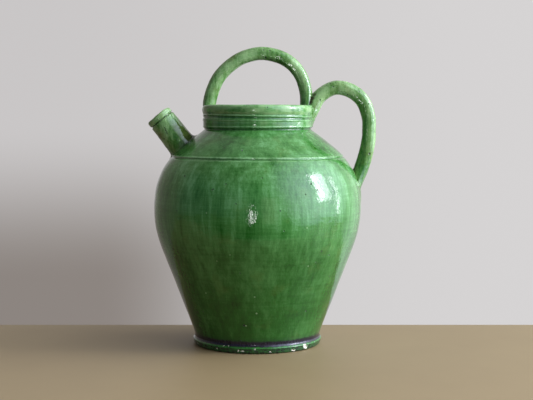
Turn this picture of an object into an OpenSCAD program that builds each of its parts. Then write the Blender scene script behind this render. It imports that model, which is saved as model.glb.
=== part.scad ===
// Two-handled country water pitcher: a thrown pot with a tube spout, a basket handle
// over the mouth and a loop handle behind. Origin at the centre of the foot, +Z up,
// spout towards -X, loop handle towards +X. Millimetres.

/* [Pot] */
// Largest radius of the belly
belly_r = 98.6; // [90:0.2:108]
// Height of the crease where the shoulder meets the neck
crease_z = 203.9; // [190:0.1:215]
// Thickness of the thrown wall
wall = 6; // [4.5:0.1:7]
// Thickness of the floor
floor_t = 9; // [7:0.5:12]

/* [Foot and neck] */
// Largest radius of the foot ring
foot_r = 61.5; // [57:0.1:64]
// Height of the foot ring's edge
foot_h = 5.8; // [4:0.1:7]
// Largest outer radius of the neck
neck_r = 52.6; // [50:0.1:55]
// Height of the neck above the crease
neck_h = 23.4; // [20:0.1:27]
// Inner radius of the mouth
mouth_r = 46.2; // [43:0.1:48]

/* [Spout] */
// Bore of the spout
spout_bore_r = 8.2; // [7:0.1:9]
// Outer radius at the lip
spout_lip_r = 12.5; // [11:0.1:14]
// Outer radius where it meets the shoulder
spout_foot_r = 13.5; // [12.5:0.1:15]
// Length of the axis outside the shoulder
spout_len = 35.5; // [28:0.5:42]
// Angle of the axis above the horizon
spout_rise = 51.7; // [45:0.1:60]
// Radius of the hole through the shoulder, a little wider than the bore
pour_hole_r = 8.7; // [8.4:0.1:9.5]

/* [Basket handle] */
// Distance from the axis to the centre of its front leg
bail_front_x = 46.3; // [44:0.1:49]
// Radius of the front half of the arch
bail_front_r = 50.4; // [48:0.1:54]
// Radius of the back half of the arch
bail_back_r = 41.6; // [39:0.1:45]
// Thickness seen from the side
bail_t = 12.2; // [10:0.1:14]
// Width across the mouth
bail_w = 15; // [11:0.1:18]

/* [Loop handle] */
// How far its centre line stands out from the axis
loop_reach = 106; // [100:0.5:112]
// Radius of its long outer curve
loop_back_r = 129.4; // [100:0.2:150]
// Radius of the bend at its shoulder
loop_mid_r = 31.4; // [28:0.1:35]
// Radius of the bend down to the neck
loop_top_r = 20.8; // [18:0.1:24]
// Thickness seen from the side
loop_t = 13.2; // [11:0.1:15]
// Width across
loop_w = 14.2; // [11:0.1:18]

/* [Hidden] */

glaze_green = [0.16, 0.42, 0.17];
glaze_dark = [0.09, 0.27, 0.11];
steps = 6;          // points on the outline between two control points
sides = 24;         // corners of a handle's section
rim_z = crease_z + neck_h;

// ---- outlines -------------------------------------------------------------

// Catmull-Rom curve through the points p[i] .. p[i + 1], at share t
function through(p, i, t) =
    let (a = p[max(i - 1, 0)], b = p[i], c = p[i + 1], d = p[min(i + 2, len(p) - 1)])
    0.5 * (2 * b + (c - a) * t + (2 * a - 5 * b + 4 * c - d) * t * t
           + (3 * b - a - 3 * c + d) * t * t * t);

// The whole curve, n points to each pair of control points
function curve(p, n) =
    concat([for (i = [0 : len(p) - 2], k = [0 : n - 1]) through(p, i, k / n)], [p[len(p) - 1]]);

// The curve c moved d to its left
function beside(c, d) =
    [for (i = [0 : len(c) - 1])
        let (v = c[min(i + 1, len(c) - 1)] - c[max(i - 1, 0)])
        c[i] + d * [-v[1], v[0]] / norm(v)];

// The wall from the waist above the foot to the crease, as shares of the belly's radius
// and of the crease's height
wall_shares = [[0.602, 0.041], [0.660, 0.123], [0.752, 0.235], [0.857, 0.368], [0.952, 0.490],
               [0.997, 0.598], [0.993, 0.687], [0.955, 0.770], [0.886, 0.839], [0.766, 0.902],
               [0.604, 0.961], [0.514, 1.000]];
wall_curve = curve([for (s = wall_shares) [s[0] * belly_r, s[1] * crease_z]], steps);

// Foot ring: a rounded bottom edge, a slightly sloping side and a crisp upper edge
foot_curve = [[foot_r - 2.2, 0], [foot_r - 1.0, 0.5], [foot_r - 0.5, 1.5], [foot_r - 0.1, foot_h - 1.4],
              [foot_r, foot_h - 0.5], [foot_r - 0.5, foot_h], [foot_r - 1.4, foot_h + 0.6]];

// Two fine lines cut round the shoulder, with the ridge that the tool throws up above them
line_z = 178.2;
line_half = 1.1;
function near_line(p) = p[1] > line_z - 2 * line_half && p[1] < line_z + 3 * line_half;
function shoulder_r(z) =
    let (k = [for (i = [0 : len(wall_curve) - 2])
              if (wall_curve[i][1] <= z && wall_curve[i + 1][1] > z) i][0],
         a = wall_curve[k], b = wall_curve[k + 1])
    a[0] + (b[0] - a[0]) * (z - a[1]) / (b[1] - a[1]);
line_cut = [for (s = [[-2, 0], [-1, -0.6], [0, -0.9], [0.8, 0.45], [1.7, 0.35], [3, 0]])
            let (z = line_z + s[0] * line_half) [shoulder_r(z) + s[1], z]];
below_line = [for (p = wall_curve) if (!near_line(p) && p[1] < line_z) p];
above_line = [for (p = wall_curve) if (!near_line(p) && p[1] > line_z) p];

// Neck: a lower band, a pair of turned lines and the rim's band, from the crease up
neck_curve = [for (s = [[-1.3, 1.7], [-0.4, 4.6], [-0.4, 7.6], [-0.9, 8.7], [-1.2, 10.0], [-1.7, 11.1],
                        [-0.7, 12.0], [-1.3, 13.2], [-0.5, 15.6], [0, 19.0], [-0.3, 21.6],
                        [-0.9, 22.6], [-1.9, 23.2], [-3.4, 23.4], [-4.9, 23.1], [-5.9, 22.2]])
              [neck_r + s[0], crease_z + s[1] * neck_h / 23.4]];

outside = concat(foot_curve, below_line, line_cut, above_line, neck_curve);

// Inside: down the mouth, under the shoulder and down the wall to a rounded floor corner
inner_wall = [for (p = beside(wall_curve, wall)) if (p[1] > floor_t + 12 && p[1] < crease_z - 6) p];
floor_corner = [[0, floor_t], [42, floor_t], [50, floor_t + 1.5], [55, floor_t + 6]];
mouth_wall = [[mouth_r - 0.3, crease_z - 3], [mouth_r, crease_z + 2], [mouth_r, rim_z - 2.4]];
inside = concat(floor_corner, inner_wall, mouth_wall);

function backwards(v) = [for (i = [len(v) - 1 : -1 : 0]) v[i]];

module pot_wall() {
    rotate_extrude($fn = 120)
        polygon(concat([[0, 0]], outside, backwards(inside)));
}

// The pot as if it were solid, which trims whatever is luted to its outside
module pot_filled() {
    rotate_extrude($fn = 120)
        polygon(concat([[0, 0]], outside, [[0, rim_z - 1.2]]));
}

// ---- spout ----------------------------------------------------------------

spout_foot_x = -71.9;   // where the spout's axis leaves the shoulder
spout_foot_z = 189.9;
groove_below_lip = 6.4;

module on_spout_axis() {
    translate([spout_foot_x, 0, spout_foot_z])
        rotate([0, spout_rise - 90, 0])
            children();
}

module spout_outside() {
    collar = spout_len - groove_below_lip;
    rotate_extrude($fn = 72)
        polygon([[0, -12], [spout_foot_r + 0.3, -12], [spout_foot_r, 0], [spout_lip_r + 0.5, collar - 8],
                 [spout_lip_r + 0.2, collar - 0.7], [spout_lip_r - 0.4, collar],
                 [spout_lip_r + 0.2, collar + 0.7], [spout_lip_r + 0.3, spout_len - 1.6],
                 [spout_lip_r, spout_len - 0.5], [spout_lip_r - 0.8, spout_len],
                 [0, spout_len]]);
}

module spout_solid() {
    difference() {
        on_spout_axis() spout_outside();
        on_spout_axis() translate([0, 0, -20]) cylinder(r = spout_bore_r, h = spout_len + 30, $fn = 72);
    }
}

// ---- handles --------------------------------------------------------------

// Oval section of a handle: half[0] thick and half[1] wide
module oval(half) {
    polygon([for (k = [0 : sides - 1]) [half[0] * cos(360 * k / sides), half[1] * sin(360 * k / sides)]]);
}

// Stretch of a bar bent in the XZ plane, swept from the angle first about a centre (x, z)
module bend(centre, radius, first, sweep, half) {
    translate([centre[0], 0, centre[1]])
        rotate([90, 0, 0])
            rotate([0, 0, first])
                rotate_extrude(angle = sweep, $fn = 96)
                    translate([radius, 0])
                        oval(half);
}

// Basket handle: an arch that leans back a little and straddles the rim with both legs
module bail_solid() {
    half = [bail_t, bail_w] / 2;
    middle_x = bail_front_r - bail_front_x;
    front_z = rim_z - 2;
    back_z = front_z + bail_front_r - bail_back_r;
    leg_end = rim_z - 4.2;
    bend([middle_x, front_z], bail_front_r, 90, 90, half);
    bend([middle_x, back_z], bail_back_r, 0, 90, half);
    for (leg = [[-bail_front_x, front_z], [middle_x + bail_back_r, back_z]])
        translate([leg[0], 0, leg_end])
            linear_extrude(leg[1] - leg_end)
                oval(half);
}

// Loop handle: springs from the neck behind the basket handle and comes down on the belly
loop_z = 211.7;         // height at which it stands out furthest
module loop_solid() {
    half = [loop_t, loop_w] / 2;
    mid_x = loop_reach - loop_mid_r;
    bend([loop_reach - loop_back_r, loop_z], loop_back_r, 0, -26, half);
    bend([mid_x, loop_z], loop_mid_r, 0, 90, half);
    bend([mid_x, loop_z + loop_mid_r - loop_top_r], loop_top_r, 90, 90, half);
}

// ---- luting clay ----------------------------------------------------------

// Shallow cap of clay: what is left of a ball once the pot is taken from it
module clay_cap(centre, r) {
    difference() {
        translate(centre)
            sphere(r = r, $fn = 96);
        pot_filled();
    }
}

// The same on the neck, ending just under the lip
module neck_cap(side, drop, r, proud) {
    difference() {
        clay_cap([side * (neck_r + proud - r), 0, rim_z - drop], r);
        translate([0, 0, rim_z - 2.8])
            cylinder(r = neck_r + 12, h = 30, $fn = 64);
    }
}

// ---- the pieces -----------------------------------------------------------

module thrown_body() {
    color(glaze_green)
        difference() {
            pot_wall();
            on_spout_axis() translate([0, 0, -25]) cylinder(r = pour_hole_r, h = 40, $fn = 48);
        }
}

module spout() {
    color(glaze_green)
        difference() {
            spout_solid();
            pot_filled();
        }
}

module basket_handle() {
    color(glaze_green)
        difference() {
            bail_solid();
            pot_wall();
        }
}

module loop_handle() {
    color(glaze_green)
        difference() {
            loop_solid();
            pot_filled();
            bail_solid();
        }
}

// A thin coil of clay that hides the seam round the foot of the spout
module spout_joint_coil() {
    color(glaze_dark)
        difference() {
            on_spout_axis()
                rotate_extrude($fn = 72)
                    polygon([[spout_foot_r - 2, -10], [spout_foot_r + 2.6, -10], [spout_foot_r + 2.6, -1.5],
                             [spout_foot_r + 1.2, 0.6], [spout_foot_r - 0.1, 3.4], [spout_foot_r - 2, 3.4]]);
            on_spout_axis() spout_outside();
            pot_filled();
        }
}

// Clay smeared down the neck from the front leg of the basket handle
module basket_handle_wad() {
    color(glaze_green)
        neck_cap(-1, 9, 14, 1.8);
}

// Clay shared by the back leg of the basket handle and the upper end of the loop handle,
// smeared down the neck
module shared_handle_wad() {
    color(glaze_green)
        difference() {
            neck_cap(1, 6.5, 17.5, 5.6);
            loop_solid();
        }
}

// Clay wiped round the lower end of the loop handle
module loop_handle_lower_wad() {
    color(glaze_green)
        difference() {
            clay_cap([69.2, 0, 145.5], 30.5);
            loop_solid();
        }
}

thrown_body();
spout();
basket_handle();
loop_handle();
spout_joint_coil();
basket_handle_wad();
shared_handle_wad();
loop_handle_lower_wad();
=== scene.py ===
"""Green glazed country pitcher: thrown pot, tube spout, basket handle and loop handle.

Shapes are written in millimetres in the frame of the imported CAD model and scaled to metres
when a mesh is made. +Z is up, the spout points towards -X and the loop handle towards +X.
"""

import math

import bpy
import numpy as np
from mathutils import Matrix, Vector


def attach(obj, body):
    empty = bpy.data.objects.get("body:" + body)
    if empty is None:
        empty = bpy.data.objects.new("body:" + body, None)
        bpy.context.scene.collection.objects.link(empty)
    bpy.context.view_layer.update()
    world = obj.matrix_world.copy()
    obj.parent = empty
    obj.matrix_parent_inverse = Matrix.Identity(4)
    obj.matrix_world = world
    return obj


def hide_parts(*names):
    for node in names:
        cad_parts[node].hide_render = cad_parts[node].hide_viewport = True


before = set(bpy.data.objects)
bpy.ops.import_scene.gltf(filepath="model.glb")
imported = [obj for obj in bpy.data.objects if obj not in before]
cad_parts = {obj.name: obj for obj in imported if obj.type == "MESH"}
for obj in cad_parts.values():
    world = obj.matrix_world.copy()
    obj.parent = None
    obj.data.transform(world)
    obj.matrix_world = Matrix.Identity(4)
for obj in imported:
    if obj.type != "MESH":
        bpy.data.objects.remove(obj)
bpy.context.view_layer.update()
MM = 0.001


# ---- curves and meshes ------------------------------------------------------------------


def spline(points, step):
    """Catmull-Rom curve through points, sampled about every step."""
    p = np.asarray(points, float)
    ends = np.vstack([2 * p[0] - p[1], p, 2 * p[-1] - p[-2]])
    out = []
    for i in range(len(p) - 1):
        a, b, c, d = ends[i : i + 4]
        n = max(1, int(round(np.linalg.norm(c[:2] - b[:2]) / step)))
        t = (np.arange(n) / n)[:, None]
        out.append(0.5 * (2 * b + (c - a) * t + (2 * a - 5 * b + 4 * c - d) * t**2
                          + (3 * b - a - 3 * c + d) * t**3))
    return np.vstack(out + [p[-1:]])


def ease(x, a, b):
    """0 before a, 1 after b, smooth between."""
    t = np.clip((np.asarray(x, float) - a) / (b - a), 0, 1)
    return t * t * (3 - 2 * t)


def waves(u, v, seed, terms):
    """Sum of sines of u and v. Each term is (amplitude, turns in u, waves per mm in v)."""
    rng = np.random.default_rng(seed)
    total = 0
    for amp, ku, kv in terms:
        total = total + amp * np.sin(ku * u + 2 * np.pi * kv * v + rng.uniform(0, 2 * np.pi))
    return total


def make_mesh(name, verts, faces):
    mesh = bpy.data.meshes.new(name)
    mesh.from_pydata([tuple(v) for v in np.asarray(verts) * MM], [], faces)
    mesh.validate()
    mesh.shade_smooth()
    piece = bpy.data.objects.new(name, mesh)
    bpy.context.collection.objects.link(piece)
    return piece


def skin(name, rings, loop=False):
    """Closed mesh over rings of points: its ends are capped by fans, or with loop joined."""
    rings = [np.asarray(r, float) for r in rings]
    k = len(rings[0])
    verts, faces = list(np.vstack(rings)), []
    count = len(rings)
    for i in range(count if loop else count - 1):
        a, b = i * k, ((i + 1) % count) * k
        faces += [(a + j, a + (j + 1) % k, b + (j + 1) % k, b + j) for j in range(k)]
    if not loop:
        verts.append(rings[0].mean(0))
        faces += [(len(verts) - 1, (j + 1) % k, j) for j in range(k)]
        verts.append(rings[-1].mean(0))
        base = (count - 1) * k
        faces += [(len(verts) - 1, base + j, base + (j + 1) % k) for j in range(k)]
    return make_mesh(name, verts, faces)


# ---- the thrown pot ---------------------------------------------------------------------

# Outside, as (height, radius): foot ring, waist groove, belly and shoulder. WALL and part of
# SHOULDER follow the silhouette as measured in the photo.
FOOT = [(0, 56), (0.15, 58.6), (0.7, 60.0), (1.6, 60.6), (3.0, 60.9), (4.3, 61.1), (5.2, 61.35),
        (5.8, 61.2), (6.3, 60.5), (7.1, 59.8), (8.4, 59.4), (9.8, 59.6), (12.0, 60.2), (15.4, 61.3)]
WALL = [(15.4, 61.3), (25, 65.0), (40.5, 71.1), (59.8, 78.4), (79.1, 86.0), (94.5, 91.9),
        (106, 95.4), (117.5, 97.5), (129, 98.2), (140.4, 97.6), (151.9, 95.7), (163.3, 91.5),
        (170.9, 87.2), (176.4, 83.1)]
SHOULDER = [(176.4, 83.1), (177.3, 82.1), (177.9, 81.3), (178.4, 80.9), (179.0, 81.3), (179.7, 80.9),
            (180.6, 79.7), (182.3, 77.9), (186.1, 73.6), (189.9, 68.9), (193.7, 64.1), (197.5, 59.0),
            (200.6, 54.8), (202.8, 51.9), (203.9, 50.6)]
NECK = [(203.9, 50.6), (204.5, 50.5), (205.3, 51.1), (206.1, 51.9), (206.7, 52.05), (207.5, 51.8),
        (209.5, 51.9), (211.6, 51.9), (212.4, 52.15), (212.9, 52.2), (213.4, 51.8), (214.2, 51.35),
        (215.2, 51.1), (215.9, 51.25), (216.3, 51.75), (216.8, 51.95), (217.3, 51.55), (218.1, 51.3),
        (219.2, 51.7), (220.6, 52.15), (222.6, 52.4), (224.3, 52.35), (225.6, 52.0), (226.5, 51.3),
        (227.05, 50.3), (227.2, 49.2), (226.95, 48.0), (226.2, 47.1), (224.8, 46.5)]
INSIDE = [(224.8, 46.5), (218, 46.2), (208, 46.0), (203.4, 45.9), (201.4, 46.6), (198, 50.2),
          (190, 60.3), (183, 69.6), (175, 78.3), (165, 85.3), (150, 90.3), (129, 92.3), (105, 89.4),
          (80, 80.1), (50, 68.4), (25, 58.4), (16, 54.3), (12, 50.3), (9.8, 44), (9, 36), (9, 18), (9, 0.8)]

NECK_OUTSIDE = 24       # points of NECK up to where the rim turns in
OUTER = np.vstack([spline(FOOT, 0.45)[:-1], spline(WALL, 1.25)[:-1], spline(SHOULDER, 0.5)])
BELLY_Z = 129           # height of the widest place


def pot_radius(z):
    """Outer radius of the pot at height z."""
    table = np.vstack([OUTER[:-1], spline(NECK[:NECK_OUTSIDE], 0.4)])
    order = np.argsort(table[:, 0], kind="stable")
    return np.interp(z, table[order, 0], table[order, 1])


# Chips along the foot, measured in the photo: (x, z, size), on the side towards -Y
CHIPS = [(44.5, 4.0, 2.1), (44.0, 5.6, 1.3), (34.4, 1.6, 1.2), (32.6, 1.9, 1.0), (12.2, 2.2, 0.8),
         (-2.1, 4.8, 0.9), (-12.8, 2.7, 0.8), (-14.6, 2.9, 0.7), (-16.9, 3.1, 0.8), (-36.7, 3.1, 0.7),
         (-26.2, 6.6, 0.7), (-30.3, 6.3, 0.6), (-55.8, 3.4, 0.8), (-59.0, 8.2, 1.1), (54.1, 5.8, 0.6),
         (45.6, 2.6, 1.6)]
# Dark pits on the handles, and a short dark streak on the spout, measured too: (x, z, size)
HANDLE_PITS = [(5.9, 278.2, 0.6), (7.7, 271.3, 0.8), (11.7, 277.5, 0.6), (45.7, 251.2, 0.6),
               (71.4, 244.1, 0.6), (68.3, 247.0, 0.5), (84.7, 236.5, 0.6), (105.8, 181.0, 0.9),
               (59.0, 231.5, 0.8), (95.7, 239.6, 0.5)]
STREAK = [(-87.2, 205.5, 0.55), (-86.5, 204.2, 0.55), (-85.9, 202.8, 0.6), (-85.2, 201.4, 0.55),
          (-84.6, 200.1, 0.5)]
# Dark pits and pale pin-holes in the pot's glaze, measured too: (x, z, size)
PITS = [(-64.9, 163.0, 0.9), (48.0, 156.9, 0.85), (53.4, 151.4, 0.75), (44.7, 39.0, 0.8), (-11.7, 27.5, 1.2),
        (65.1, 91.6, 0.8), (-39.3, 152.0, 0.6), (-18.0, 140.3, 0.6), (-26.9, 157.4, 0.6), (-14.8, 78.0, 0.6),
        (53.0, 86.2, 0.5), (24.0, 116.5, 0.5), (80.0, 155.0, 0.7), (4.7, 162.8, 0.5), (9.3, 224.4, 0.6)]
PALE = [(-1.9, 55.4, 0.6), (-0.3, 39.5, 0.8), (-46.2, 56.7, 0.6), (-9.9, 27.2, 0.7), (-23.5, 94.7, 0.5),
        (-35.3, 88.5, 0.5), (-44.2, 131.7, 0.6), (44.4, 118.4, 0.6), (45.8, 83.0, 0.6)]


def on_front(x, z):
    """Point of the pot's surface at (x, z) on the side towards -Y."""
    r = float(pot_radius(z))
    return np.array([x, -math.sqrt(max(r * r - x * x, 1.0)), z])


def lean_of(z):
    """How far the pot's axis lies towards +X at height z: it leans by 3 mm in a metre."""
    return (z - BELLY_Z) * 0.003 + 0.1


def build_pot():
    inner = spline(INSIDE, 4.0)
    profile = np.vstack([[(0, 18), (0, 40)], OUTER[:-1], spline(NECK, 0.42)[:-1], inner])
    outer_rows = len(profile) - len(inner)
    turns = 336
    th = np.linspace(0, 2 * np.pi, turns, endpoint=False)[None, :]
    z, r = profile[:, :1] + 0 * th, profile[:, 1:] + 0 * th
    out = np.zeros((len(profile), 1))
    out[2:outer_rows] = 1
    free = out * ease(z, 2, 10)
    # slow unevenness of a hand-thrown wall, then the shallow spiral the fingers leave
    r = r + free * waves(th, z, 3, [(0.10, 1, 0.006), (0.08, 2, 0.004), (0.05, 3, 0.011)])
    ridge = waves(th, z, 5, [(0.030, 1, 1 / 19.0), (0.022, 1, 1 / 11.3), (0.010, 1, 1 / 6.1),
                             (0.006, 2, 1 / 3.7), (0.014, 3, 1 / 31.0)])
    r = r + free * ridge * (1 + 0.8 * ease(z, 182, 200))
    # the neck's lines drop to the right as the tool climbed
    drop = -1.25 * np.cos(th) * np.exp(-((z - 215.3) / 3.2) ** 2) * out
    z = z + drop
    # rim cut a little uneven
    z = z + ease(z, 222, 227) * (waves(th, z, 9, [(0.12, 2, 0), (0.07, 5, 0), (0.05, 9, 0)]) - 0.2)
    for x, cz, size in CHIPS:
        px, py, _ = on_front(x, cz)
        dist = np.sqrt((r * np.cos(th) - px) ** 2 + (r * np.sin(th) - py) ** 2 + 1.6 * (z - cz) ** 2)
        r = r - out * 0.30 * size * np.exp(-((dist / (0.8 * size)) ** 4))
    ring = np.stack([r * np.cos(th) + lean_of(z), r * np.sin(th), z], axis=2)
    return skin("Pot", list(ring))


# ---- spout ------------------------------------------------------------------------------

SPOUT_AT = np.array([-72.3, 0, 189.9])
SPOUT_TILT = math.radians(90 - 51.7)
SPOUT_AXIS = np.array([-math.sin(SPOUT_TILT), 0, math.cos(SPOUT_TILT)])
SPOUT_SIDE = np.array([math.cos(SPOUT_TILT), 0, math.sin(SPOUT_TILT)])
SPOUT_BACK = np.array([0, 1.0, 0])


def round_spout(t, radius, angle):
    return (SPOUT_AT + t[..., None] * SPOUT_AXIS
            + (radius * np.cos(angle))[..., None] * SPOUT_SIDE
            + (radius * np.sin(angle))[..., None] * SPOUT_BACK)


SPOUT_OUT = [(-5.2, 14.2), (-2.5, 13.9), (0, 13.7), (4, 13.55), (10, 13.35), (17, 13.1), (24, 12.85),
             (27.2, 12.75), (28.2, 12.6), (28.8, 11.9), (29.3, 11.55), (29.8, 11.8), (30.3, 12.6),
             (31.4, 12.6), (33.6, 12.5), (34.6, 12.35), (35.2, 11.9), (35.4, 11.1), (35.35, 10.0),
             (35.0, 9.0), (34.2, 8.4), (32.0, 8.2), (20, 8.2), (5, 8.2), (-5.2, 8.1)]


def build_spout():
    prof = spline(SPOUT_OUT, 0.55)
    an = np.linspace(0, 2 * np.pi, 128, endpoint=False)[None, :]
    t, r = prof[:, :1] + 0 * an, prof[:, 1:] + 0 * an
    up = ease(t, -2, 6)
    outer = (r > 9.5) * 1.0
    r = r + up * outer * waves(an, t, 21, [(0.16, 2, 0.01), (0.08, 3, 0.03), (0.05, 1, 0.12), (0.03, 5, 0.2)])
    # lip cut by eye: a slight dip in the middle of its near side
    t = t + ease(t, 28, 34) * (waves(an, t, 23, [(0.22, 2, 0), (0.16, 3, 0), (0.08, 7, 0)]) - 0.30)
    t = t + 0.35 * np.cos(an) * np.exp(-((t - 29.4) / 1.6) ** 2)
    return skin("Spout", list(round_spout(t, r, an)), loop=True)


def shoulder_height(an, rho):
    """Distance along the spout's axis at which the shoulder lies, rho from the axis."""
    lo, hi = np.full(np.broadcast(an, rho).shape, -30.0), np.full(np.broadcast(an, rho).shape, 12.0)
    for _ in range(40):
        mid = (lo + hi) / 2
        p = round_spout(mid, rho + 0 * mid, an + 0 * mid)
        outside = np.hypot(p[..., 0], p[..., 1]) > pot_radius(p[..., 2])
        hi, lo = np.where(outside, mid, hi), np.where(outside, lo, mid)
    return (lo + hi) / 2


COIL_INNER = 13.62      # radius at which the coil meets the spout


def build_spout_coil():
    """Clay pressed into the seam round the spout: wide above and below, thin at the sides."""
    an = np.linspace(0, 2 * np.pi, 160, endpoint=False)
    size = 0.85 + 3.0 * np.clip(np.cos(an), 0, 1) ** 14 + 3.2 * np.clip(-np.cos(an), 0, 1) ** 10
    size = size + waves(an, 0 * an, 31, [(0.10, 3, 0), (0.08, 7, 0), (0.06, 11, 0)])
    rings = []
    for f in np.linspace(0, 1, 15):
        a = f * np.pi / 2
        rho = COIL_INNER + size * (1 - math.sin(a))
        t = shoulder_height(an, rho) + size * (1 - math.cos(a)) + (0.04 if 0 < f < 1 else -0.12)
        rings.append(round_spout(t, rho, an))
    top = shoulder_height(an, COIL_INNER + 0 * an) + size
    rings.append(round_spout(top - 0.3, 12.9 + 0 * an, an))
    rings.append(round_spout(top - size - 1.6, 12.6 + 0 * an, an))
    rings.append(round_spout(shoulder_height(an, COIL_INNER + size) - 1.4, COIL_INNER + size * 0.8, an))
    return skin("Spout_joint_coil", rings, loop=True)


# ---- handles ----------------------------------------------------------------------------


HANDLE_SIDES = 72


def sweep_handle(name, stations, rough, ridge=None):
    """Bar along stations (x, z, half thickness, half width, squareness) in the XZ plane."""
    s = spline(stations, 1.0)
    path = s[:, :2]
    tangent = np.gradient(path, axis=0)
    tangent /= np.linalg.norm(tangent, axis=1)[:, None]
    normal = np.stack([-tangent[:, 1], tangent[:, 0]], axis=1)
    run = np.concatenate([[0], np.cumsum(np.linalg.norm(np.diff(path, axis=0), axis=1))])
    an = np.linspace(0, 2 * np.pi, HANDLE_SIDES, endpoint=False)
    rings = []
    for i in range(len(s)):
        half_t, half_w, sq = s[i, 2], s[i, 3], s[i, 4]
        ca, sa = np.cos(an), np.sin(an)
        power = 2 / (2 + sq)
        u = half_t * np.sign(ca) * np.abs(ca) ** power
        w = half_w * np.sign(sa) * np.abs(sa) ** power
        grow = 1 + rough(an, run[i] + 0 * an, run[i] / run[-1]) / max(half_t, 2)
        if ridge is not None:
            grow = grow + ridge(an, run[i] / run[-1]) / max(half_t, 2)
        u, w = u * grow, w * grow
        n, c = normal[i], path[i]
        rings.append(np.stack([c[0] + u * n[0], w, c[1] + u * n[1]], axis=1))
    return skin(name, rings)


def pulled(seed):
    """Unevenness of a handle pulled by hand: long flats and shallow dents."""
    terms = [(0.13, 2, 0.012), (0.10, 3, 0.020), (0.07, 1, 0.045), (0.06, 4, 0.008), (0.035, 5, 0.06),
             (0.025, 2, 0.13), (0.045, 9, 0.006), (0.035, 14, 0.009), (0.03, 3, 0.21)]

    def rough(an, run, share):
        fade = ease(share, 0.02, 0.08) * (1 - ease(share, 0.92, 0.98))
        return fade * waves(an, run, seed, terms)
    return rough


# Both handles as (x, z, half thickness, half width, squareness). BASKET runs from the spout's side
# over to the other, LOOP from the neck down to the belly; both follow measurements of the photo.
BASKET = [(-48.6, 210.5, 0.9, 5.2, 0.2), (-48.9, 214.5, 2.0, 7.2, 0.2), (-48.7, 219.0, 3.0, 8.6, 0.2),
          (-46.9, 223.6, 5.0, 8.7, 0.25), (-45.6, 227.8, 6.1, 7.9, 0.35), (-44.1, 233.8, 6.2, 7.3, 0.4),
          (-41.9, 241.4, 6.2, 7.1, 0.4), (-38.8, 248.7, 6.2, 7.1, 0.4), (-34.4, 255.5, 6.2, 7.2, 0.4),
          (-28.8, 261.5, 6.3, 7.3, 0.4), (-22.1, 266.7, 6.35, 7.4, 0.4), (-14.8, 270.8, 6.35, 7.5, 0.4),
          (-6.8, 273.7, 6.35, 7.5, 0.4), (1.7, 275.2, 6.3, 7.5, 0.4), (10.2, 275.0, 6.3, 7.5, 0.4),
          (18.5, 273.0, 6.3, 7.4, 0.4), (26.4, 269.5, 6.25, 7.3, 0.4), (33.4, 264.3, 6.2, 7.2, 0.4),
          (38.9, 257.6, 6.2, 7.1, 0.4), (42.9, 250.2, 6.2, 7.0, 0.4), (45.4, 242.1, 6.2, 7.0, 0.4),
          (46.4, 234.0, 6.2, 7.1, 0.35), (46.8, 227.4, 6.2, 7.7, 0.25), (47.8, 222.8, 5.1, 8.4, 0.25),
          (49.2, 218.0, 3.3, 8.2, 0.2), (49.6, 213.5, 1.8, 6.6, 0.2), (49.6, 210.5, 0.9, 5.0, 0.2)]

LOOP = [(48.6, 208.5, 2.6, 9.0, 0.2), (49.6, 213.6, 4.8, 10.5, 0.2), (50.8, 219.0, 6.6, 10.4, 0.2),
        (52.4, 224.6, 7.3, 9.4, 0.2), (55.2, 230.1, 7.1, 8.4, 0.25), (58.4, 234.4, 6.8, 7.6, 0.35),
        (62.5, 238.1, 6.7, 7.2, 0.4), (67.4, 241.1, 6.65, 7.1, 0.4), (73.1, 242.9, 6.65, 7.1, 0.4),
        (79.2, 242.9, 6.65, 7.2, 0.4), (85.1, 241.5, 6.7, 7.2, 0.4), (90.6, 238.8, 6.7, 7.2, 0.4),
        (95.4, 235.3, 6.75, 7.2, 0.4), (99.4, 230.9, 6.75, 7.1, 0.4), (102.3, 225.8, 6.75, 7.1, 0.4),
        (104.2, 220.3, 6.75, 7.1, 0.4), (105.4, 214.7, 6.75, 7.1, 0.4), (105.8, 208.9, 6.65, 7.1, 0.4),
        (105.8, 203.0, 6.65, 7.1, 0.4), (105.6, 197.0, 6.7, 7.1, 0.4), (104.8, 190.6, 6.75, 7.1, 0.4),
        (103.6, 183.6, 6.8, 7.2, 0.4), (101.6, 175.5, 6.85, 7.5, 0.35), (98.9, 167.4, 6.9, 8.2, 0.3),
        (96.3, 160.3, 6.7, 9.6, 0.25), (94.7, 154.4, 5.8, 11.2, 0.2), (93.9, 149.2, 4.6, 12.1, 0.2),
        (93.8, 144.0, 3.2, 11.8, 0.2), (94.1, 139.4, 1.8, 9.4, 0.2), (94.4, 136.6, 0.8, 6.5, 0.2)]


def loop_ridges(an, share):
    """Thumb-wiped edge down the outside of the loop handle's lower end."""
    on = ease(share, 0.80, 0.88) * (1 - ease(share, 0.93, 0.99))
    near = math.radians(118) + 3.3 * (share - 0.86)
    edges = 0
    for middle in (near, 2 * np.pi - near):
        gap = np.abs((an - middle + np.pi) % (2 * np.pi) - np.pi)
        edges = edges + np.exp(-((gap / 0.22) ** 2))
    return on * 0.8 * edges


# ---- clay smeared on the pot ------------------------------------------------------------


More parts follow.
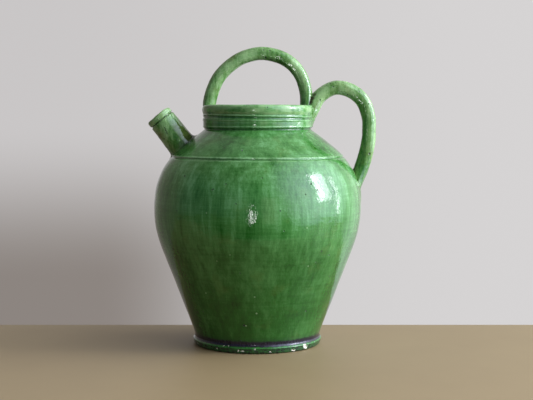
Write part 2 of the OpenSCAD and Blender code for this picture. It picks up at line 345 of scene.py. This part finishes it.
def smear(name, side, z_range, half_angle, height):
    """Pad that follows the pot's surface. height(u, z) is how proud it stands; u runs -1..1."""
    zs = np.linspace(z_range[0], z_range[1], 44)
    us = np.linspace(-1, 1, 56)
    u, z = np.meshgrid(us, zs)
    from_end = np.minimum(z - z_range[0], z_range[1] - z) / (z_range[1] - z_range[0])
    edge = np.minimum(1 - np.abs(u), from_end * 2)
    h = height(u, z) * ease(edge, 0.0, 0.35) - 0.7 * (1 - ease(edge, 0.0, 0.10))
    base = pot_radius(z) - 0.2
    th = u * half_angle + (math.pi if side < 0 else 0)
    rows = []
    for r in (base + h, base - 2.6):
        rows.append(np.stack([r * np.cos(th) + lean_of(z), r * np.sin(th), z], axis=2))
    ny, nx = u.shape
    verts = np.vstack([rows[0].reshape(-1, 3), rows[1].reshape(-1, 3)])

    def top(i, j):
        return i * nx + j

    def low(i, j):
        return ny * nx + top(i, j)

    faces = []
    for i in range(ny - 1):
        for j in range(nx - 1):
            faces.append((top(i, j), top(i, j + 1), top(i + 1, j + 1), top(i + 1, j)))
            faces.append((low(i, j), low(i + 1, j), low(i + 1, j + 1), low(i, j + 1)))
    rim = [(i, 0) for i in range(ny)] + [(ny - 1, j) for j in range(1, nx)]
    rim += [(i, nx - 1) for i in range(ny - 2, -1, -1)] + [(0, j) for j in range(nx - 2, 0, -1)]
    for a, b in zip(rim, rim[1:] + rim[:1]):
        faces.append((top(*a), top(*b), low(*b), low(*a)))
    return make_mesh(name, verts, faces)


def front_smear(u, z):
    down = ease(z, 207.5, 224)
    return (0.10 + 0.55 * down) * np.exp(-((u / 0.62) ** 2)) + 0.06 * np.sin(9 * u + 0.5 * z)


def shared_smear(u, z):
    down = ease(z, 203.5, 222)
    return (0.25 + 4.6 * down) * np.exp(-((u / 0.55) ** 4)) + 0.08 * np.sin(8 * u + 0.45 * z)


def lower_smear(u, z):
    away = np.sqrt((u / 0.75) ** 2 + ((z - 151) / 19.0) ** 2)
    return 1.9 * np.exp(-(away**2) * 1.6) + 0.08 * np.sin(9 * u + 0.3 * z)


# ---- materials --------------------------------------------------------------------------


class Shader:
    """Short names for the nodes of one tree, a material's or the world's."""

    def __init__(self, owner):
        owner.use_nodes = True
        self.tree = owner.node_tree
        self.tree.nodes.clear()

    def node(self, kind, **settings):
        n = self.tree.nodes.new(kind)
        for key, value in settings.items():
            setattr(n, key, value)
        return n

    def put(self, socket, value):
        if isinstance(value, bpy.types.NodeSocket):
            self.tree.links.new(value, socket)
        elif isinstance(value, (tuple, list)) and len(value) == 3 and socket.type == "RGBA":
            socket.default_value = (*value, 1)
        else:
            socket.default_value = value

    def math(self, op, a, b=0.0):
        n = self.node("ShaderNodeMath", operation=op)
        self.put(n.inputs[0], a)
        self.put(n.inputs[1], b)
        return n.outputs[0]

    def add(self, a, b):
        return self.math("ADD", a, b)

    def mul(self, a, b):
        return self.math("MULTIPLY", a, b)

    def vec(self, op, a, b=(0, 0, 0), out=0, scale=None):
        n = self.node("ShaderNodeVectorMath", operation=op)
        self.put(n.inputs[0], a)
        self.put(n.inputs[1], b)
        if scale is not None:
            self.put(n.inputs["Scale"], scale)
        return n.outputs[out]

    def position(self):
        """Place on the object, in millimetres."""
        return self.vec("MULTIPLY", self.node("ShaderNodeTexCoord").outputs["Object"], (1000, 1000, 1000))

    def xyz(self, v):
        n = self.node("ShaderNodeSeparateXYZ")
        self.put(n.inputs[0], v)
        return n.outputs

    def noise(self, place, scale, detail=3.0, rough=0.55, warp=0.0):
        n = self.node("ShaderNodeTexNoise")
        self.put(n.inputs["Vector"], place)
        self.put(n.inputs["Scale"], scale)
        self.put(n.inputs["Detail"], detail)
        self.put(n.inputs["Roughness"], rough)
        self.put(n.inputs["Distortion"], warp)
        return n.outputs["Fac"]

    def colours(self, place, scale):
        n = self.node("ShaderNodeTexNoise")
        self.put(n.inputs["Vector"], place)
        self.put(n.inputs["Scale"], scale)
        self.put(n.inputs["Detail"], 2.0)
        return n.outputs["Color"]

    def blend(self, fac, a, b):
        n = self.node("ShaderNodeMix", data_type="FLOAT")
        for i, v in ((0, fac), (2, a), (3, b)):
            self.put(n.inputs[i], v)
        return n.outputs[0]

    def range(self, value, a, b, lo=0.0, hi=1.0, smooth=True):
        n = self.node("ShaderNodeMapRange", interpolation_type="SMOOTHSTEP" if smooth else "LINEAR")
        for i, v in enumerate((value, a, b, lo, hi)):
            self.put(n.inputs[i], v)
        return n.outputs[0]

    def ramp(self, value, stops):
        n = self.node("ShaderNodeValToRGB")
        self.put(n.inputs[0], value)
        band = n.color_ramp
        while len(band.elements) < len(stops):
            band.elements.new(0.5)
        for element, (at, colour) in zip(band.elements, stops):
            element.position, element.color = at, (*colour, 1)
        return n.outputs[0]

    def mix(self, fac, a, b):
        n = self.node("ShaderNodeMix", data_type="RGBA")
        self.put(n.inputs[0], fac)
        self.put(n.inputs[6], a)
        self.put(n.inputs[7], b)
        return n.outputs[2]

    def band(self, z, centre, half):
        """1 on the line z = centre, 0 half away from it."""
        away = self.math("ABSOLUTE", self.math("SUBTRACT", z, centre))
        return self.range(away, half, 0.0)

    def spot(self, place, centre, radius, soft=0.35):
        """1 inside a small spot about centre."""
        d = self.vec("DISTANCE", place, tuple(float(c) for c in centre), out=1)
        return self.range(d, radius * (1 + soft), radius * (1 - soft))

    def most(self, values):
        total = values[0]
        for v in values[1:]:
            total = self.math("MAXIMUM", total, v)
        return total

    def bump(self, height, distance):
        n = self.node("ShaderNodeBump")
        self.put(n.inputs["Distance"], distance)
        self.put(n.inputs["Height"], height)
        return n.outputs[0]


class Surface(Shader):
    """Nodes of a new material, with a Principled shader wired to its output."""

    def __init__(self, name):
        self.material = bpy.data.materials.new(name)
        super().__init__(self.material)
        self.bsdf = self.node("ShaderNodeBsdfPrincipled")
        out = self.node("ShaderNodeOutputMaterial")
        self.tree.links.new(self.bsdf.outputs[0], out.inputs["Surface"])


DEEP, GREEN = (0.0022, 0.014, 0.001), (0.015, 0.094, 0.010)
FRESH, THIN = (0.060, 0.190, 0.044), (0.172, 0.380, 0.155)
HANDLE_FRESH, PALE_GREEN = (0.080, 0.190, 0.040), (0.260, 0.400, 0.165)
# the last of these is the brownish colour of the painted shade in the crevice between the handles
OLIVE, RUST, CREVICE_SHADE_BROWN = (0.120, 0.130, 0.018), (0.085, 0.095, 0.016), (0.030, 0.012, 0.006)
CLAY, PINK_CLAY = (0.620, 0.560, 0.450), (0.74, 0.66, 0.60)
LUSTRE, DARK_LUSTRE = (0.030, 0.022, 0.040), (0.012, 0.010, 0.018)
TONE_MIDDLE = 1.125     # middle of the summed noises, from which their contrast is stretched


def glaze_tone(s, p, z, thinness, pot):
    """How thin the glaze lies, with the noises that the other looks share."""
    # runs are stretched down the pot, turned lines round it
    wide_runs = s.noise(s.vec("MULTIPLY", p, (1, 1, 0.12)), 0.055, 3, 0.6, 0.4)
    fine_runs = s.noise(s.vec("MULTIPLY", p, (1, 1, 0.06)), 0.300, 3, 0.6, 0.3)
    drips = s.noise(s.vec("MULTIPLY", p, (1, 1, 0.09)), 0.750, 2, 0.5, 0.2)
    if pot:
        lines = s.noise(s.vec("MULTIPLY", p, (0.06, 0.06, 1)), 0.420, 4, 0.7)
    else:
        lines = s.noise(p, 0.190, 4, 0.7, 0.5)
    clouds = s.noise(p, 0.022, 3, 0.6)
    grain = s.noise(p, 0.90, 3, 0.65)
    tone = s.mul(wide_runs, 0.75)
    for noise, share in ((fine_runs, 0.42), (drips, 0.17), (lines, 0.28), (clouds, 0.45), (grain, 0.22)):
        tone = s.add(tone, s.mul(noise, share))
    tone = s.add(tone, -TONE_MIDDLE)
    if pot:
        # glaze lies thinner on the shoulder and neck, thick and even towards the foot
        tone = s.mul(tone, s.range(z, 30, 150, 0.62, 1.0))
        tone = s.add(tone, s.range(z, 40, 140, 0.41, 0.65, False))
        tone = s.add(tone, s.mul(s.band(z, 190, 22), -0.07))
    else:
        tone = s.add(s.mul(tone, 1.45), 0.545 + thinness)
    return tone, lines, clouds, grain


def bare_neck(s, p, z, colour):
    """Glaze worn pale above the neck's lines and between them."""
    bare = s.range(s.noise(s.vec("MULTIPLY", p, (1, 1, 2)), 0.10, 3, 0.65), 0.30, 0.66)
    colour = s.mix(s.mul(s.mul(s.range(z, 216.5, 219), bare), 0.75), colour, PALE_GREEN)
    return s.mix(s.mul(s.mul(s.band(z, 209.6, 4.5), bare), 0.35), colour, PALE_GREEN)


def glaze_specks(s, p, y, pot, spout):
    """Dark specks and pale pin-holes, scattered by cells and placed from the lists above."""
    size = 0.085 if pot else 0.15
    least, most = (0.35, 0.85) if pot else (0.5, 1.1)
    cells = s.node("ShaderNodeTexVoronoi", feature="F1")
    s.put(cells.inputs["Vector"], p)
    s.put(cells.inputs["Scale"], size)
    away = cells.outputs["Distance"]
    pick, spread, _ = s.xyz(cells.outputs["Color"])
    width = s.range(spread, 0, 1, least * size, most * size, False)
    speck = s.mul(s.math("LESS_THAN", away, width), s.math("GREATER_THAN", pick, 0.66))
    pale = s.mul(s.math("LESS_THAN", away, s.mul(width, 0.7)), s.math("LESS_THAN", pick, 0.14))
    if pot:
        speck = s.most([speck] + [s.spot(p, on_front(cx, cz), radius) for cx, cz, radius in PITS])
        pale = s.most([pale] + [s.spot(p, on_front(cx, cz), radius) for cx, cz, radius in PALE])
    else:
        flat = s.vec("MULTIPLY", p, (1, 0, 1))
        marks = STREAK if spout else HANDLE_PITS
        near = s.most([s.spot(flat, (cx, 0, cz), radius) for cx, cz, radius in marks])
        speck = s.math("MAXIMUM", speck, s.mul(near, s.range(y, -1, -3)))
    return speck, pale


def pale_lines_and_groove_shade(s, p, x, z, colour):
    """Pale lines along the ridges and rim, and dark lines of painted shade in the grooves and creases, on the
    shoulder and neck: (height, centre, half width, strength).
    """
    tilt = s.add(z, s.mul(x, 1.25 / 52.0))
    pale = [(z, 179.4, 1.3, 1), (z, 176.6, 0.8, 0.45), (z, 206.8, 0.9, 1), (z, 212.6, 0.9, 1),
            (tilt, 216.9, 0.8, 0.9), (z, 226.8, 2.4, 0.8)]
    # dark: painted shade in the grooves and creases
    dark = [(z, 178.0, 0.8, 0.35), (z, 204.3, 1.0, 1), (z, 209.6, 1.6, 0.25), (z, 205.3, 0.9, 0.4),
            (tilt, 214.9, 1.3, 0.9), (tilt, 218.3, 0.9, 0.35)]

    def strongest(lines):
        return s.most([s.mul(s.band(height, centre, half), much) for height, centre, half, much in lines])

    broken = s.range(s.noise(s.vec("MULTIPLY", p, (1, 1, 0.4)), 0.16, 3, 0.7), 0.32, 0.62, 0.15, 1.0)
    colour = s.mix(s.mul(s.mul(strongest(pale), broken), 0.62), colour, (0.30, 0.50, 0.24))
    # darken the grooves and creases: painted shade
    return s.mix(s.mul(strongest(dark), 0.70), colour, (0.006, 0.030, 0.008))


def spout_place(s, p):
    """Place from the spout's foot, how far it lies along the spout's axis, and how far from it."""
    apart = s.vec("SUBTRACT", p, tuple(SPOUT_AT))
    along = s.vec("DOT_PRODUCT", apart, tuple(SPOUT_AXIS), out=1)
    off = s.vec("SUBTRACT", apart, s.vec("SCALE", tuple(SPOUT_AXIS), scale=along))
    return apart, along, s.vec("LENGTH", off, out=1)


def seam_on_pot(s, p, y, colour):
    """The dark seam round the foot of the spout."""
    _, along, reach = spout_place(s, p)
    seam = s.mul(s.band(reach, 14.7, 0.9), s.range(s.math("ABSOLUTE", y), 3, 8))
    return s.mix(s.mul(s.mul(seam, s.range(along, -8, -6)), 0.85), colour, (0.005, 0.018, 0.004))


def foot_glaze(s, p, z, colour):
    """A lustrous dark pool in the groove, mottled glaze below it and a thin pale edge between."""
    teeth = s.noise(s.vec("MULTIPLY", p, (1, 1, 0.25)), 0.42, 4, 0.75)
    uneven = s.math("SUBTRACT", teeth, 0.5)
    ragged = s.add(z, s.mul(uneven, 3.4))
    pool = s.mul(s.range(ragged, 6.2, 6.8), s.range(ragged, 12.6, 10.2))
    above = s.mul(s.range(ragged, 17.0, 11.0), s.range(ragged, 9.0, 11.0))
    colour = s.mix(s.mul(above, 0.45), colour, (0.010, 0.040, 0.014))
    colour = s.mix(pool, colour, s.mix(s.range(teeth, 0.35, 0.65), DARK_LUSTRE, LUSTRE))
    mottle = s.range(s.noise(s.vec("MULTIPLY", p, (1, 1, 1.6)), 0.30, 3, 0.7), 0.42, 0.58)
    mottled = s.mix(mottle, (0.008, 0.012, 0.012), (0.020, 0.085, 0.022))
    colour = s.mix(s.mul(s.range(z, 5.4, 4.5), 0.9), colour, mottled)
    line = s.band(s.add(z, s.mul(uneven, -1.2)), 5.7, 1.1)
    edge = s.mul(line, s.range(mottle, 0.1, 0.7, 0.30, 1))
    return s.mix(s.mul(edge, 0.75), colour, (0.040, 0.160, 0.038)), pool


def foot_chips(s, p, y, z):
    """Chips down to the clay: those in CHIPS, and worn places round the back."""
    wobble = s.vec("SUBTRACT", s.colours(p, 0.9), (0.5, 0.5, 0.5))
    shaken = s.vec("ADD", p, s.vec("MULTIPLY", wobble, (3.2, 3.2, 2.4)))
    chips = s.most([s.spot(shaken, on_front(cx, cz), radius, 0.15) for cx, cz, radius in CHIPS])
    worn = s.mul(s.range(s.noise(p, 0.45, 3, 0.75), 0.655, 0.69), s.range(z, 6.4, 5.2))
    return s.math("MAXIMUM", chips, s.mul(worn, s.range(y, -25, 5)))


def crevice_shade_spots(s, p, colour):
    """Painted shade, brownish, in the crevice where the two handles meet behind the rim."""
    places = ((53.0, 237.0), (51.6, 233.0), (50.4, 229.2))
    # painted shade in the crevice between the handles
    brown = s.most([s.spot(p, (cx, -6.5, cz), 2.3) for cx, cz in places])
    return s.mix(s.mul(brown, 0.8), colour, CREVICE_SHADE_BROWN)


def spout_marks_and_groove_shade(s, p, clouds, colour):
    """Pale end, rust on the side towards the handle, painted shade in the groove, a dark seam, brown lip."""
    apart, along, reach = spout_place(s, p)
    across = s.vec("DOT_PRODUCT", apart, tuple(SPOUT_SIDE), out=1)
    colour = s.mix(s.mul(s.range(along, 30, 31), s.range(across, -9, 5, 0.0, 0.60)), colour, PALE_GREEN)
    rust = s.mul(s.mul(s.range(across, 1, 8), s.range(along, 24, 14)), s.range(clouds, 0.25, 0.6, 0.4, 1))
    colour = s.mix(s.mul(rust, 0.70), colour, RUST)
    seam = s.mul(s.mul(s.band(reach, 14.3, 1.3), s.range(along, 3.4, 1.6)), s.range(across, -8, 2))
    # the dark ring in the groove is painted shade; the seam beside it is a dark joint
    groove_shade_and_seam = s.most([s.band(along, 29.2, 0.8), seam])
    colour = s.mix(s.mul(groove_shade_and_seam, 0.92), colour, (0.004, 0.014, 0.003))
    lip = s.mul(s.range(along, 34.3, 35.0), s.range(across, 6, -4))
    return s.mix(s.mul(lip, 0.7), colour, (0.060, 0.036, 0.012))


def glaze(name, olive, thinness=0.0, pot=False, spout=False):
    """Green lead glaze over pale clay: runs of thick and thin, fine turned lines, pits and specks, with
    painted shade in the grooves of the pot and spout and between the handles.
    """
    s = Surface(name)
    p = s.position()
    x, y, z = s.xyz(p)
    tone, lines, clouds, grain = glaze_tone(s, p, z, thinness, pot)
    high, top = (FRESH, THIN) if pot else (HANDLE_FRESH, PALE_GREEN)
    colour = s.ramp(tone, [(0.18, DEEP), (0.44, GREEN), (0.66, high), (0.96, top)])
    if pot:
        colour = bare_neck(s, p, z, colour)
    elsewhere = s.vec("ADD", p, (31, 7, 90))
    colour = s.mix(s.range(s.noise(elsewhere, 0.055, 3, 0.6), 0.54, 0.72, 0, olive), colour, OLIVE)
    speck, pale = glaze_specks(s, p, y, pot, spout)
    colour = s.mix(s.mul(speck, 0.88), colour, (0.010, 0.014, 0.007))
    colour = s.mix(s.mul(pale, 0.65), colour, (0.32, 0.46, 0.24))
    rough = s.add(0.04, s.mul(s.range(clouds, 0.35, 0.7), 0.06))
    height = s.add(s.noise(p, 0.16, 2, 0.5), s.mul(s.noise(p, 0.42, 2, 0.5), 0.65))
    height = s.add(height, s.add(s.mul(grain, 0.11), s.mul(lines, 0.34)))
    height = s.math("SUBTRACT", height, s.mul(speck, 1.2))
    if pot:
        # pale lines on the ridges, and painted shade in the grooves of the neck and shoulder
        colour = pale_lines_and_groove_shade(s, p, x, z, colour)
        colour = seam_on_pot(s, p, y, colour)
        colour, pool = foot_glaze(s, p, z, colour)
        chips = foot_chips(s, p, y, z)
        colour = s.mix(chips, colour, s.mix(s.range(grain, 0.4, 0.6), CLAY, PINK_CLAY))
        rough = s.blend(chips, s.blend(pool, rough, 0.20), 0.75)
        height = s.math("SUBTRACT", height, s.mul(chips, 2.0))
        s.put(s.bsdf.inputs["Metallic"], s.mul(pool, 0.35))
    elif spout:
        # the spout's marks, with painted shade in its groove
        colour = spout_marks_and_groove_shade(s, p, clouds, colour)
    else:
        # painted shade in the crevice between the handles
        colour = crevice_shade_spots(s, p, colour)
    s.put(s.bsdf.inputs["Base Color"], colour)
    s.put(s.bsdf.inputs["Roughness"], s.blend(speck, rough, 0.85))
    s.put(s.bsdf.inputs["IOR"], 1.52)
    s.put(s.bsdf.inputs["Normal"], s.bump(height, 0.00016))
    return s.material


# ---- build ------------------------------------------------------------------------------

pot_glaze = glaze("Pot_glaze", 0.12, pot=True)
handle_glaze = glaze("Handle_glaze", 0.45, 0.21)
spout_glaze = glaze("Spout_glaze", 0.80, 0.20, spout=True)
wad_glaze = glaze("Wad_glaze", 0.30, 0.12)

pot, spout, coil = build_pot(), build_spout(), build_spout_coil()
basket = sweep_handle("Basket_handle", BASKET, pulled(41))
loop = sweep_handle("Loop_handle", LOOP, pulled(43), loop_ridges)
basket_smear = smear("Basket_handle_smear", -1, (206.5, 225.5), 0.27, front_smear)
shared = smear("Shared_handle_smear", 1, (203.0, 226.0), 0.36, shared_smear)
lower = smear("Loop_handle_lower_smear", 1, (130.0, 172.0), 0.20, lower_smear)
pieces = [
    (pot, "thrown_body", "body_glaze", pot_glaze),
    (spout, "spout", "handle_glaze", spout_glaze),
    (coil, "spout_joint_coil", "pooled_glaze", spout_glaze),
    (basket, "basket_handle", "handle_glaze", handle_glaze),
    (loop, "loop_handle", "handle_glaze", handle_glaze),
    (basket_smear, "basket_handle_wad", "handle_glaze", wad_glaze),
    (shared, "shared_handle_wad", "handle_glaze", wad_glaze),
    (lower, "loop_handle_lower_wad", "handle_glaze", wad_glaze),
]
for piece, node, slot, material in pieces:
    piece.data.materials.append(material)
    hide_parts(node)
    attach(piece, "root")

# ---- floor, light and camera ------------------------------------------------------------


def build_floor():
    x0, x1, y0, y1, t = -900, 900, -290, 91, 28
    corners = ((x0, y0), (x1, y0), (x1, y1), (x0, y1))
    verts = [(x, y, z) for z in (-t, 0) for x, y in corners]
    faces = [(0, 3, 2, 1), (4, 5, 6, 7), (0, 1, 5, 4), (1, 2, 6, 5), (2, 3, 7, 6), (3, 0, 4, 7)]
    floor = make_mesh("Floor", verts, faces)
    floor.data.shade_flat()
    s = Surface("Pale_floor")
    p = s.position()
    tint = s.mix(s.noise(p, 0.012, 3, 0.6), (0.238, 0.163, 0.082), (0.278, 0.192, 0.097))
    # darker towards the front edge: painted shade on the floor
    front_edge_painted_shade = s.range(s.xyz(p)[1], -225, y0)
    s.put(s.bsdf.inputs["Base Color"], s.mix(front_edge_painted_shade, tint, (0.07, 0.055, 0.035)))
    s.put(s.bsdf.inputs["Roughness"], 0.55)
    floor.data.materials.append(s.material)


def area_light(name, centre, look_at, width, height, radiance, colour=(1, 1, 1)):
    """Rectangular light of the given radiance, facing look_at."""
    data = bpy.data.lights.new(name, "AREA")
    data.shape, data.size, data.size_y = "RECTANGLE", width, height
    data.energy = radiance * width * height * math.pi
    data.color = colour
    lamp = bpy.data.objects.new(name, data)
    bpy.context.collection.objects.link(lamp)
    lamp.location = centre
    away = Vector(look_at) - Vector(centre)
    lamp.rotation_euler = away.to_track_quat("-Z", "Y").to_euler()
    lamp.visible_camera = False
    return lamp


build_floor()
area_light("Window_left", (1.5, -0.445, 0.84), (0.0, -0.445, 0.84), 0.23, 1.12, 19.0, (0.96, 1.0, 1.04))
area_light("Window_right", (1.5, -0.195, 0.84), (0.0, -0.195, 0.84), 0.23, 1.12, 9.5, (0.90, 0.97, 1.0))
area_light("Window_edge", (1.5, 0.17, 0.42), (0.0, 0.17, 0.42), 0.07, 0.86, 15.0, (0.92, 0.97, 1.0))
area_light("Far_window", (-0.055, -0.60, 0.098), (-0.02, -0.09, 0.15), 0.022, 0.12, 24.0)
area_light("Far_wall", (0.22, -0.95, 0.16), (0.02, -0.09, 0.15), 0.26, 0.42, 0.6, (1.0, 0.93, 0.70))
area_light("Ceiling", (0.3, -0.5, 2.2), (0.0, 0.0, 0.2), 2.0, 1.6, 0.20, (1.0, 0.98, 0.94))

# daylight from the bright side of the room, fading outwards in steps
for i, radius in enumerate((0.9, 1.3, 1.8, 2.3, 2.9)):
    glow = area_light(f"Glow_{i}", (2.27, -0.70, 0.90 + 0.12 * radius), (0.0, 0.0, 0.13),
                      2 * radius, 2 * radius, 0.97, (0.84, 1.0, 1.20))
    glow.data.shape = "DISK"
    glow.data.energy *= math.pi / 4

world = bpy.data.worlds.new("Pale_wall")
bpy.context.scene.world = world


def sky():
    """A pale wall behind the pot, with a painted shadow at its lower left, and a darker room in front, both
    by direction alone.
    """
    w = Shader(world)
    direction = w.node("ShaderNodeTexCoord").outputs["Generated"]
    dx, dy, dz = w.xyz(direction)
    behind = w.range(dy, -0.20, 0.35)
    wall = w.mix(w.range(dx, -0.22, 0.22), (0.585, 0.567, 0.568), (0.67, 0.655, 0.656))
    wall = w.mix(w.range(dx, -0.25, -0.55), wall, (0.30, 0.28, 0.25))
    wall = w.mix(w.range(dx, 0.40, 0.72), wall, (1.3, 1.4, 1.4))
    wall = w.mix(w.range(dx, 0.84, 0.98), wall, (0.62, 0.62, 0.60))
    # darker towards the lower left of the wall: a painted shadow
    wall_painted_shadow = w.mul(w.range(dx, 0.03, -0.14), w.range(dz, -0.01, -0.14))
    wall = w.mix(w.mul(wall_painted_shadow, 0.92), wall, (0.235, 0.205, 0.185))
    room = w.mix(w.range(dx, 0.10, 0.60), (0.065, 0.12, 0.165), (0.34, 0.37, 0.35))
    room = w.mix(w.range(dz, 0.42, 0.75), room, (0.20, 0.20, 0.18))
    room = w.mix(w.range(dz, -0.03, -0.14), room, (0.025, 0.022, 0.016))
    background = w.node("ShaderNodeBackground")
    w.put(background.inputs[0], w.mix(behind, room, wall))
    out = w.node("ShaderNodeOutputWorld")
    w.tree.links.new(background.outputs[0], out.inputs[0])


sky()

LENS, TILT = 81.05, 4.289   # millimetres on a 36 mm sensor and degrees down, worked out from the photo

scene = bpy.context.scene
scene.view_settings.view_transform = "Standard"
camera = bpy.data.objects.new("Camera", bpy.data.cameras.new("Camera"))
bpy.context.collection.objects.link(camera)
camera.data.sensor_width = 36.0
camera.data.lens = LENS
camera.data.clip_start, camera.data.clip_end = 0.05, 50
camera.location = (0.00865, -1.140, 0.2221)
camera.rotation_euler = (math.pi / 2 - math.radians(TILT), 0, 0)
scene.camera = camera
